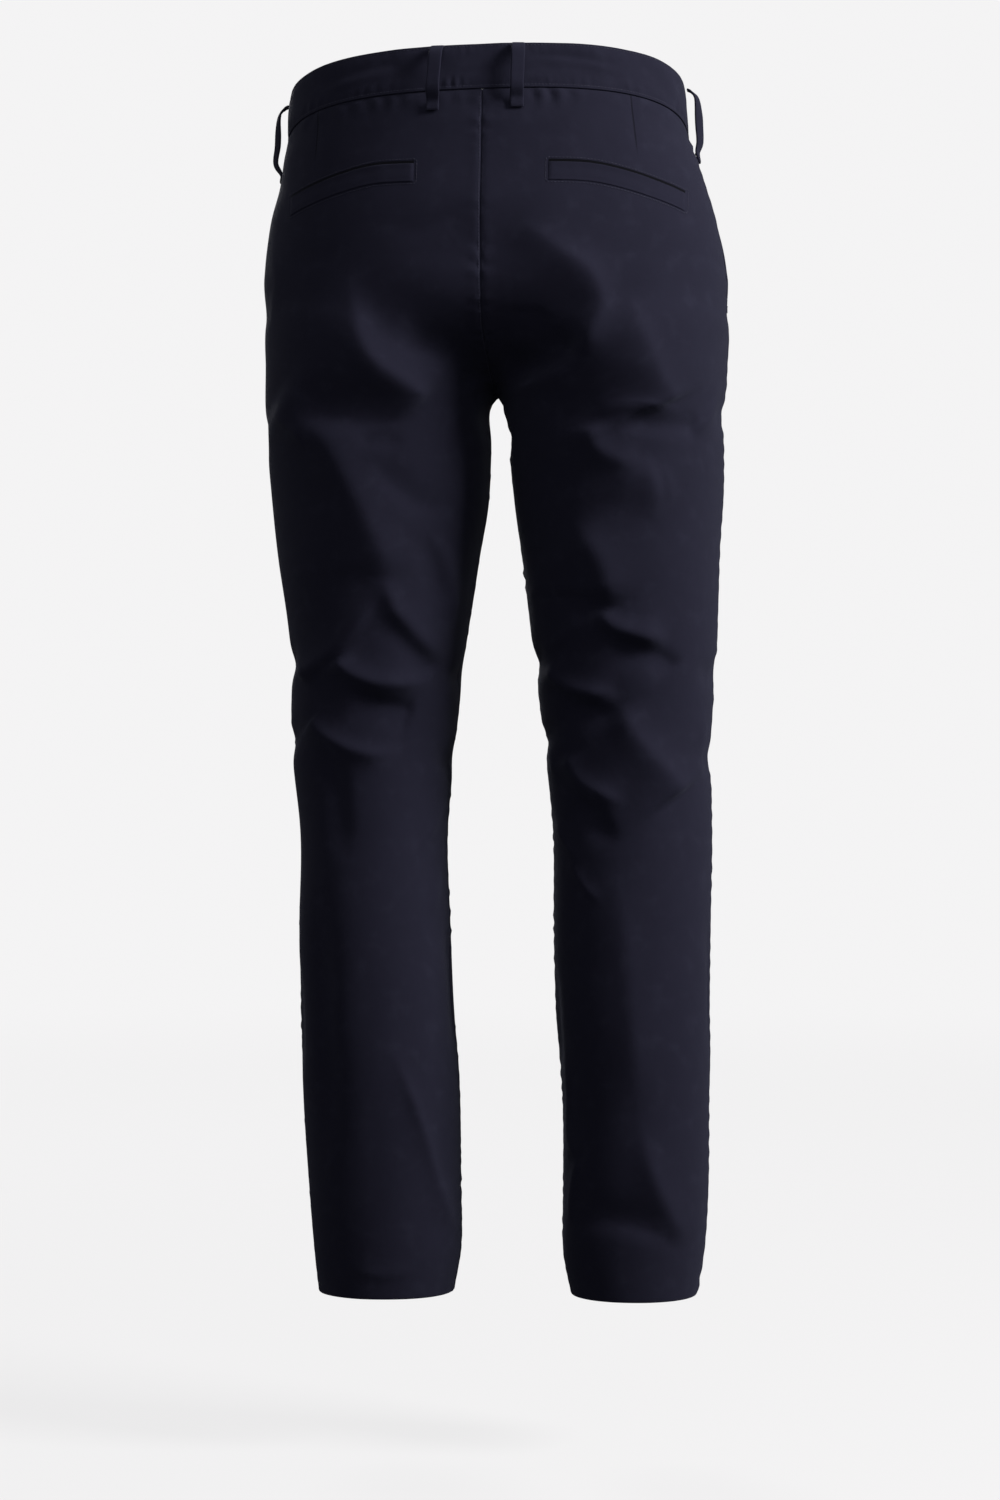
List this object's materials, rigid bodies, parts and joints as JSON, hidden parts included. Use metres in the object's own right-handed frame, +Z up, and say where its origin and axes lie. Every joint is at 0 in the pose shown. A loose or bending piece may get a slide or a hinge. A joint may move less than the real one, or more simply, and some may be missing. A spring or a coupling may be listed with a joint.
{
  "type": "chino trousers",
  "caption": "Men's slim-straight chino trousers in navy cotton twill, open and hollow in their worn form, with belt loops, welt back pockets, slanted front pockets and a zip fly.",
  "frame": {"origin": "middle of the waist opening, inside the waistband, where the wearer's waist holds the trousers up", "axes": "+Z up, the trousers face -Y, +X to the wearer's left"},
  "size_m": [0.3901, 0.2585, 1.0258],
  "materials": {
    "twill": "dark navy cotton twill, soft matte with a slight nap",
    "zip_tape": "navy woven zip tape with a dark moulded chain",
    "zip_metal": "antique brass, satin",
    "button": "dark navy resin, satin"
  },
  "bodies": {
    "root": {"back_left": "twill", "front_left": "twill", "back_welt_left": "twill", "pocket_facing_left": "twill", "back_right": "twill", "front_right": "twill", "back_welt_right": "twill", "pocket_facing_right": "twill", "waistband": "twill", "belt_loop_back_left": "twill", "belt_loop_back_right": "twill", "belt_loop_side_left": "twill", "belt_loop_side_right": "twill", "belt_loop_front_left": "twill", "belt_loop_front_right": "twill", "fly_shield": "twill", "zip": "zip_tape", "zip_slider": "zip_metal", "zip_pull": "zip_metal", "waist_button": "button"}
  },
  "joints": []
}
